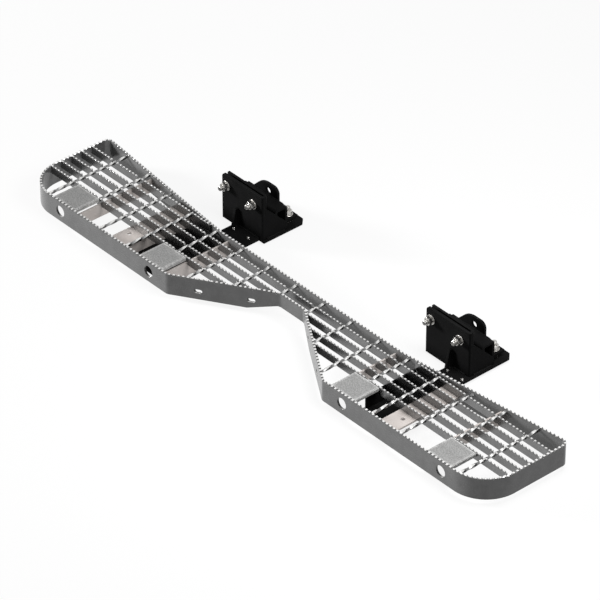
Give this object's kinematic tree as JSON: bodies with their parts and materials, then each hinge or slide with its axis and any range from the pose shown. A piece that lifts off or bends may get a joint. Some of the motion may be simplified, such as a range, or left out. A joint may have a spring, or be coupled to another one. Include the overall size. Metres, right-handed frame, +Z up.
{
  "type": "rear step",
  "caption": "Rear vehicle step of open serrated grating inside a deep toothed band, cut back at the middle for a tow ball, on two black bolted chassis brackets.",
  "frame": {"origin": "middle of the floor of the whole part's box: half way along the step, half way from its front band to the brackets' rear edge, at the foot of the rear bolts", "axes": "+X along the step to the right seen from in front of it, +Y from the step towards the chassis, +Z up out of the tread"},
  "size_m": [1.535, 0.421, 0.1285],
  "materials": {
    "galvanised": "satin",
    "plain_steel": "satin",
    "tread_plate": "satin",
    "black_paint": "satin",
    "zinc_plate": "gloss"
  },
  "bodies": {
    "root": {"arm_screws": "zinc_plate", "back_band": "galvanised", "bar_row_1_left": "galvanised", "bar_row_1_right": "galvanised", "bar_row_2": "galvanised", "bar_row_3_left": "galvanised", "bar_row_3_right": "galvanised", "bar_row_4_left": "galvanised", "bar_row_4_right": "galvanised", "bar_row_5_left": "galvanised", "bar_row_5_right": "galvanised", "front_bolts": "zinc_plate", "front_nuts": "zinc_plate", "front_washers": "zinc_plate", "left_base_plate": "black_paint", "left_channel": "black_paint", "left_cheek": "black_paint", "left_gusset": "black_paint", "left_hanger": "black_paint", "left_inner_rib": "plain_steel", "left_inner_tread": "tread_plate", "left_outer_rib": "plain_steel", "left_outer_tread": "tread_plate", "left_pad_band": "galvanised", "left_return_plate": "black_paint", "left_support_angle": "plain_steel", "left_upright": "black_paint", "neck_band": "galvanised", "rear_bolts": "zinc_plate", "rear_nuts": "zinc_plate", "rear_washers": "zinc_plate", "right_base_plate": "black_paint", "right_channel": "black_paint", "right_cheek": "black_paint", "right_gusset": "black_paint", "right_hanger": "black_paint", "right_inner_rib": "plain_steel", "right_inner_tread": "tread_plate", "right_outer_rib": "plain_steel", "right_outer_tread": "tread_plate", "right_pad_band": "galvanised", "right_return_plate": "black_paint", "right_support_angle": "plain_steel", "right_upright": "black_paint", "tie_rods": "galvanised"}
  },
  "joints": []
}
